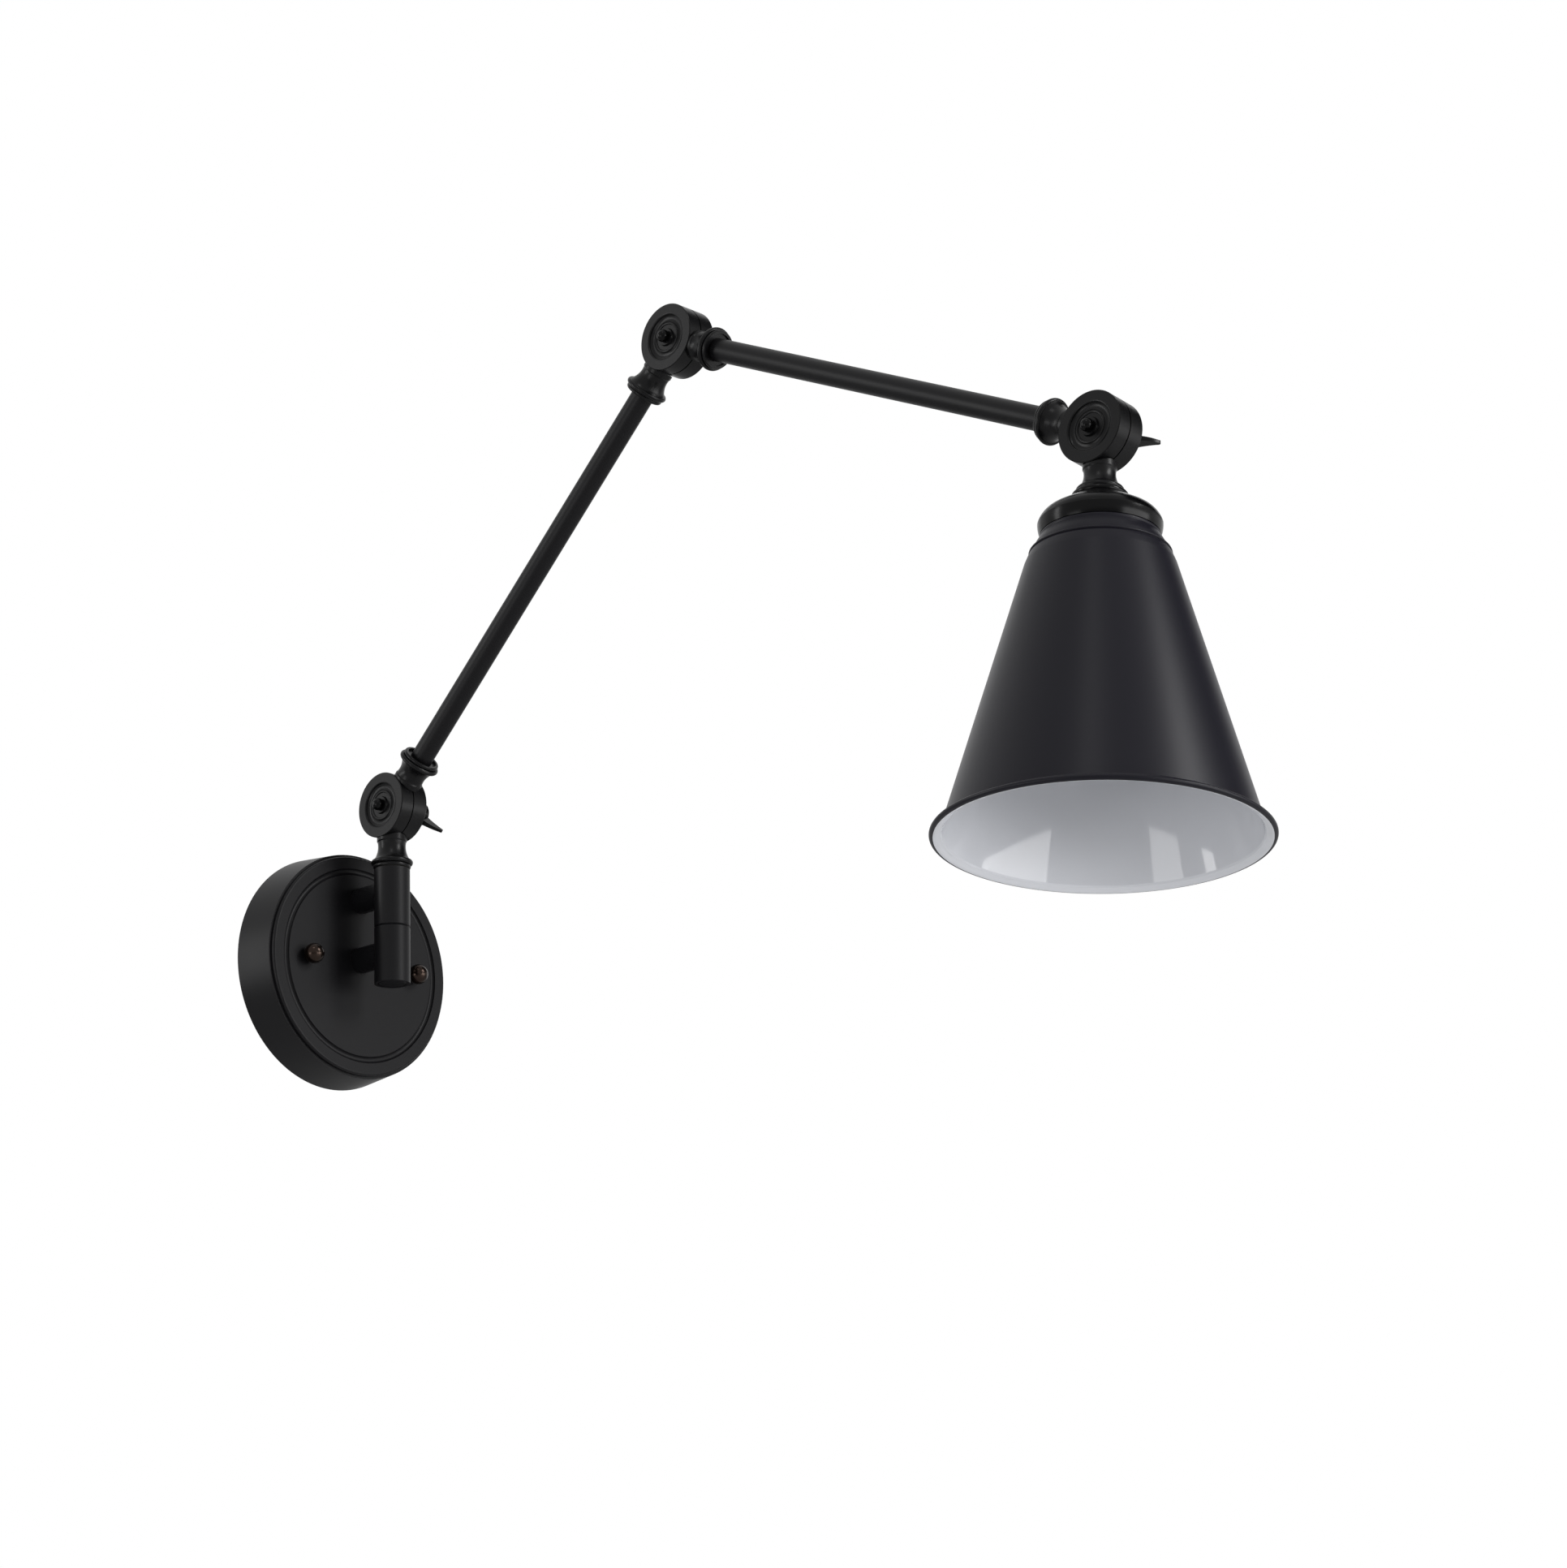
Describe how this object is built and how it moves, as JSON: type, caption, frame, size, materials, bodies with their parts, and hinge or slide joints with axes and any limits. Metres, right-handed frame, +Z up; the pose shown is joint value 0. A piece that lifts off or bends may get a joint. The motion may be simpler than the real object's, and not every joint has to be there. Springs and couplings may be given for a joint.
{
  "type": "articulating wall lamp",
  "caption": "Wall lamp with a round canopy, a swivelling barrel, two tube arms on disc knuckles with wing nuts, and a long flared cone shade.",
  "frame": {"origin": "centre of the canopy's back rim, on the wall plane", "axes": "+Y into the wall, +Z up, +X to the right of someone who faces the wall; the lamp stands out towards -Y"},
  "size_m": [0.1565, 0.6215, 0.3647],
  "materials": {
    "black_paint": "satin black powder coat",
    "black_turned": "glossier black on turned brass",
    "shade_enamel": "satin black outside and gloss white inside",
    "dark_bronze": "polished dark bronze",
    "zinc_steel": "zinc-plated",
    "green_steel": "green-dyed earth screw",
    "fibre": "dark fibre",
    "holder_plastic": "black phenolic moulding",
    "contact_brass": "plain brass"
  },
  "bodies": {
    "mounting": {"canopy": "black_paint", "box_strap": "zinc_steel", "fixture_strap": "zinc_steel", "strap_rivet": "zinc_steel", "ground_screw": "green_steel", "fixture_screws": "zinc_steel", "ball_nuts": "dark_bronze", "lower_post": "black_paint", "upper_post": "black_paint", "post_lock_washers": "zinc_steel", "post_nuts": "zinc_steel", "upper_sleeve": "black_paint", "lower_sleeve": "black_paint", "barrel_plug": "black_paint"},
    "swivel": {"swivel_stem": "contact_brass", "swivel_washer": "fibre", "stem_washer": "zinc_steel", "stem_nut": "zinc_steel", "stem_knuckle": "black_turned", "lower_bolt": "black_turned", "lower_friction_washer": "fibre"},
    "lower_arm": {"lower_arm_base_knuckle": "black_turned", "lower_tube": "black_paint", "lower_arm_end_knuckle": "black_turned", "elbow_bolt": "black_turned", "elbow_friction_washer": "fibre", "lower_flat_washer": "black_turned", "lower_spring_washer": "black_turned"},
    "upper_arm": {"upper_arm_base_knuckle": "black_turned", "upper_tube": "black_paint", "upper_arm_end_knuckle": "black_turned", "head_bolt": "black_turned", "head_friction_washer": "fibre", "elbow_flat_washer": "black_turned", "elbow_spring_washer": "black_turned"},
    "head": {"head_knuckle": "black_turned", "head_nipple": "contact_brass", "cup_ring": "black_turned", "socket_cup": "black_turned", "nipple_nut": "zinc_steel", "lampholder_body": "holder_plastic", "contact_carrier": "holder_plastic", "screw_shell": "contact_brass", "centre_contact": "contact_brass", "shade": "shade_enamel", "shade_ring": "holder_plastic", "head_flat_washer": "black_turned", "head_spring_washer": "black_turned"},
    "lower_nut": {"lower_wing_nut": "black_turned"},
    "elbow_nut": {"elbow_wing_nut": "black_turned"},
    "head_nut": {"head_wing_nut": "black_turned"}
  },
  "joints": [
    {"name": "swivel", "type": "hinge", "parent": "mounting", "child": "swivel", "pos_m": [0, -0.0511, 0], "axis": [0, 0, 1], "range_deg": [-85, 85]},
    {"name": "lower_knuckle", "type": "hinge", "parent": "swivel", "child": "lower_arm", "pos_m": [0, -0.0511, 0.0827], "axis": [-1, 0, 0], "range_deg": [-80, 45]},
    {"name": "elbow", "type": "hinge", "parent": "lower_arm", "child": "upper_arm", "pos_m": [0, -0.27404, 0.28344], "axis": [1, 0, 0], "range_deg": [-130, 50]},
    {"name": "head_tilt", "type": "hinge", "parent": "upper_arm", "child": "head", "pos_m": [0, -0.54368, 0.15193], "axis": [-0.9959, -0.0397, 0.0815], "range_deg": [-45, 150]},
    {"name": "lower_nut_turn", "type": "hinge", "parent": "swivel", "child": "lower_nut", "pos_m": [0, -0.0511, 0.0827], "axis": [1, 0, 0], "range_deg": [0, 180]},
    {"name": "elbow_nut_turn", "type": "hinge", "parent": "lower_arm", "child": "elbow_nut", "pos_m": [0, -0.27404, 0.28344], "axis": [1, 0, 0], "range_deg": [0, 180]},
    {"name": "head_nut_turn", "type": "hinge", "parent": "upper_arm", "child": "head_nut", "pos_m": [0, -0.54368, 0.15193], "axis": [0.9959, 0.0397, -0.0815], "range_deg": [0, 180]}
  ]
}
